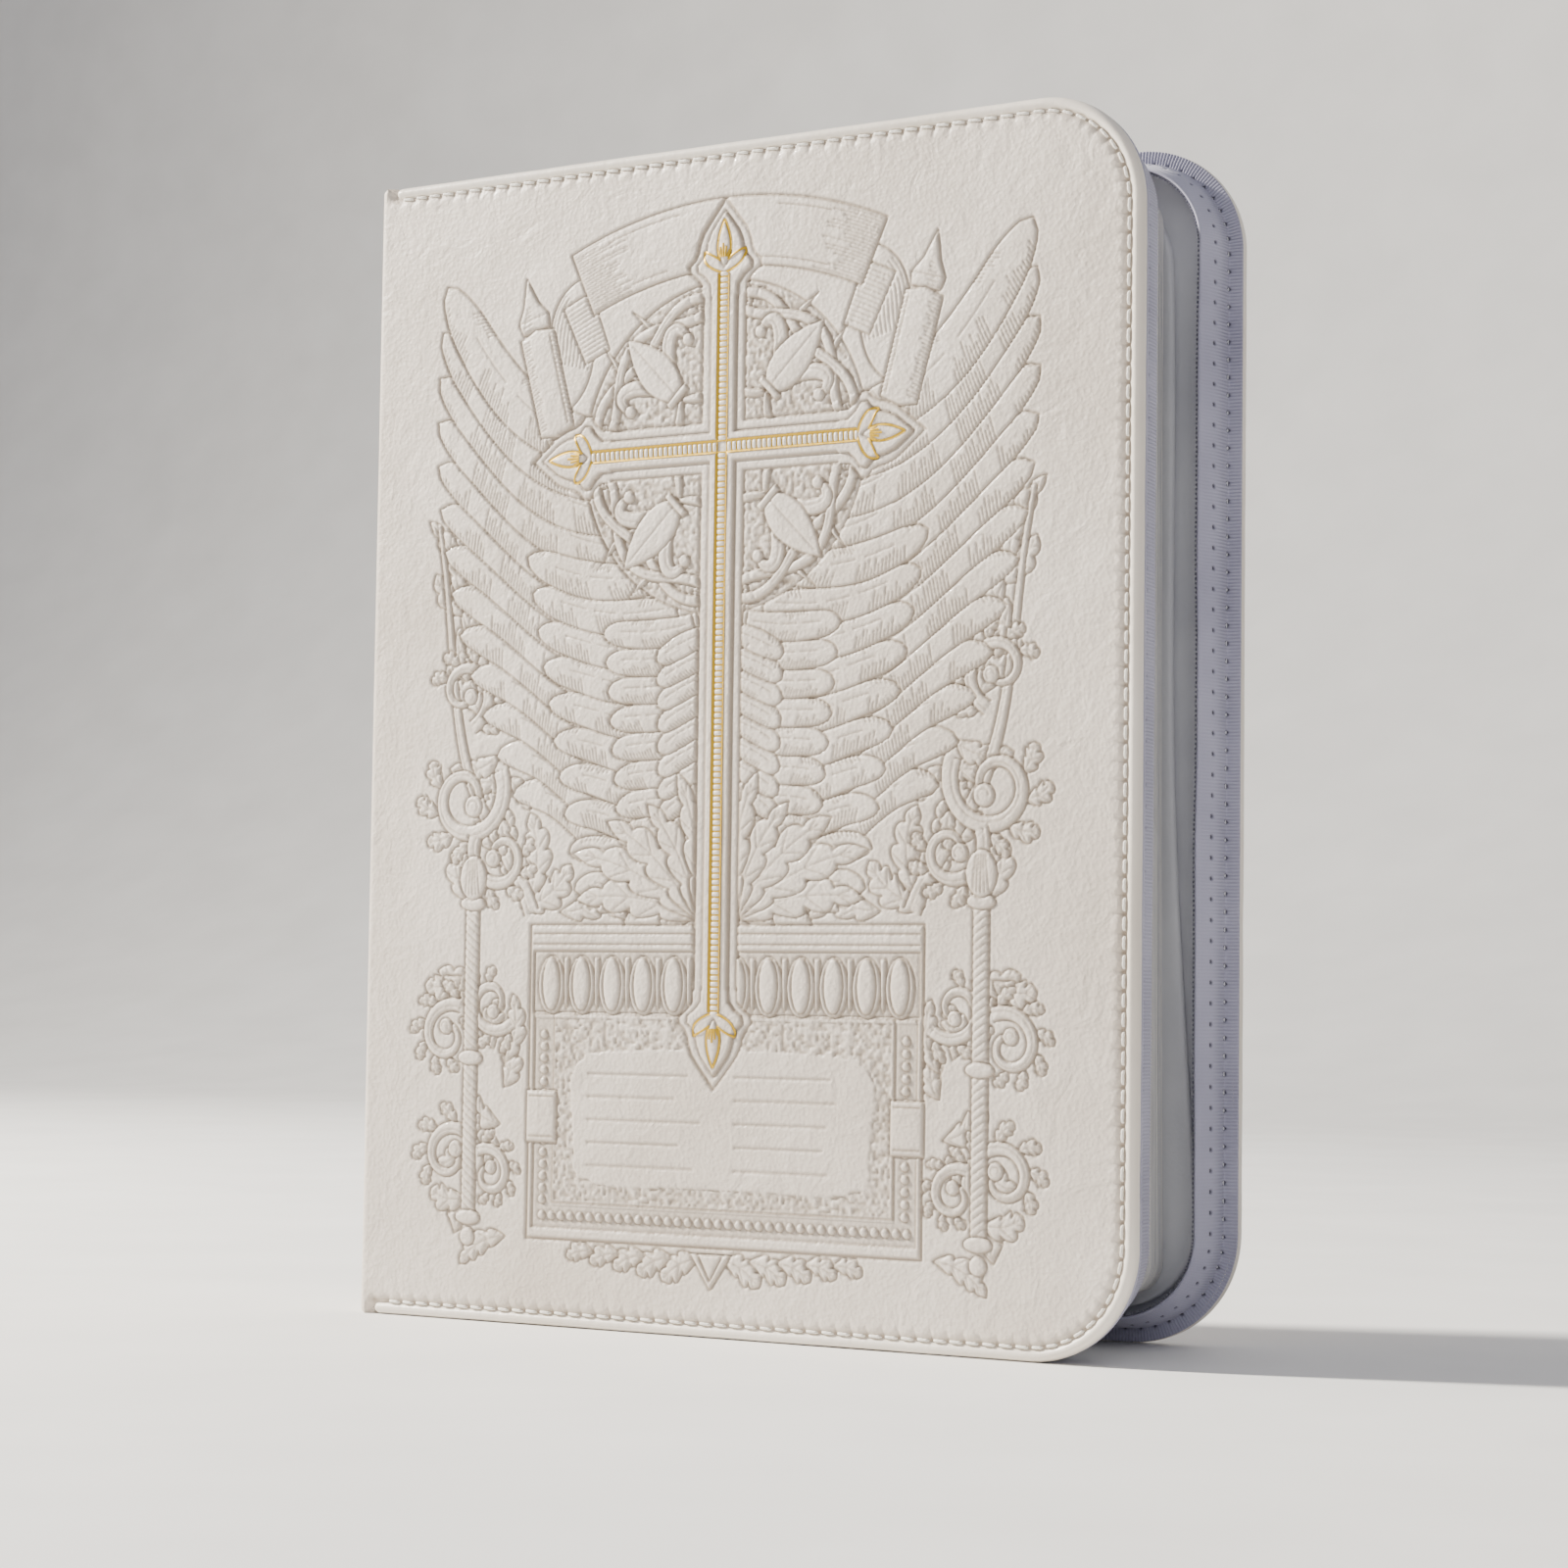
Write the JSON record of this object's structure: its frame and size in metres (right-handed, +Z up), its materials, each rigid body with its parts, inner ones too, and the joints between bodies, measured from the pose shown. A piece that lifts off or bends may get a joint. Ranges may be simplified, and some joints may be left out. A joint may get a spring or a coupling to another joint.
{
  "type": "zip-around covered bible",
  "caption": "Bible in a soft leather zip-around cover with embossed front, piped edges, opening pages and a zip slider.",
  "frame": {"origin": "middle of the bounding box's base, on the surface it stands on", "axes": "+Z up along the height, spine towards -X, front cover towards -Y"},
  "size_m": [0.2048, 0.0602, 0.27],
  "materials": {
    "case_leather": "satin",
    "piping": "satin",
    "card": "matte",
    "lining": "matte",
    "tape": "matte",
    "coil": "satin",
    "book_leather": "satin",
    "pages": "satin",
    "silk": "satin",
    "gold_foil": "satin",
    "metal": "polished"
  },
  "bodies": {
    "spine": {"spine_leather": "case_leather", "spine_board": "card", "spine_lining": "lining", "book_spine": "book_leather", "sewn_page_folds": "pages", "head_band": "silk", "tail_band": "silk", "zip_end_top": "tape", "zip_end_bottom": "tape"},
    "slider": {"zip_slider": "metal"},
    "pull": {"zip_pull": "metal"},
    "front_cover": {"front_leather": "case_leather", "front_board": "card", "front_lining": "lining", "front_piping": "piping", "front_zip_tape": "tape", "front_zip_coil": "coil", "front_cross_foil": "gold_foil"},
    "book_front": {"book_front_cover": "book_leather"},
    "front_pages": {"front_pages_1": "pages", "front_pages_2": "pages", "front_pages_3": "pages"},
    "back_cover": {"back_leather": "case_leather", "back_board": "card", "back_lining": "lining", "back_piping": "piping", "back_zip_tape": "tape", "back_zip_coil": "coil"},
    "book_back": {"book_back_cover": "book_leather"},
    "back_pages": {"back_pages_1": "pages", "back_pages_2": "pages", "back_pages_3": "pages"}
  },
  "joints": [
    {"name": "front_cover_hinge", "type": "hinge", "parent": "spine", "child": "front_cover", "pos_m": [-0.10037, -0.018, 0.135], "axis": [0, 0, -1], "range_deg": [-3.8, 87.1]},
    {"name": "front_book_cover_hinge", "type": "hinge", "parent": "spine", "child": "book_front", "pos_m": [-0.09737, -0.012, 0.135], "axis": [0, 0, -1], "range_deg": [-3.7, 84.5]},
    {"name": "front_pages_hinge", "type": "hinge", "parent": "spine", "child": "front_pages", "pos_m": [-0.08787, -0.011, 0.135], "axis": [0, 0, -1], "range_deg": [-3.5, 78.5]},
    {"name": "back_cover_hinge", "type": "hinge", "parent": "spine", "child": "back_cover", "pos_m": [-0.10037, 0.018, 0.135], "axis": [0, 0, 1], "range_deg": [-3.8, 87.1]},
    {"name": "back_book_cover_hinge", "type": "hinge", "parent": "spine", "child": "book_back", "pos_m": [-0.09737, 0.012, 0.135], "axis": [0, 0, 1], "range_deg": [-3.7, 84.5]},
    {"name": "back_pages_hinge", "type": "hinge", "parent": "spine", "child": "back_pages", "pos_m": [-0.08787, 0.011, 0.135], "axis": [0, 0, 1], "range_deg": [-3.5, 78.5]},
    {"name": "slider_run", "type": "slide", "parent": "spine", "child": "slider", "axis": [1, 0, 0], "range_m": [0, 0.008]},
    {"name": "pull_swing", "type": "hinge", "parent": "slider", "child": "pull", "pos_m": [-0.08437, 0, 0.26657], "axis": [0, -1, 0], "range_deg": [0, 160]}
  ],
  "couplings": [
    {"joint": "front_book_cover_hinge", "follows": "front_cover_hinge", "ratio": 0.97},
    {"joint": "front_pages_hinge", "follows": "front_cover_hinge", "ratio": 0.9},
    {"joint": "back_book_cover_hinge", "follows": "back_cover_hinge", "ratio": 0.97},
    {"joint": "back_pages_hinge", "follows": "back_cover_hinge", "ratio": 0.9}
  ]
}
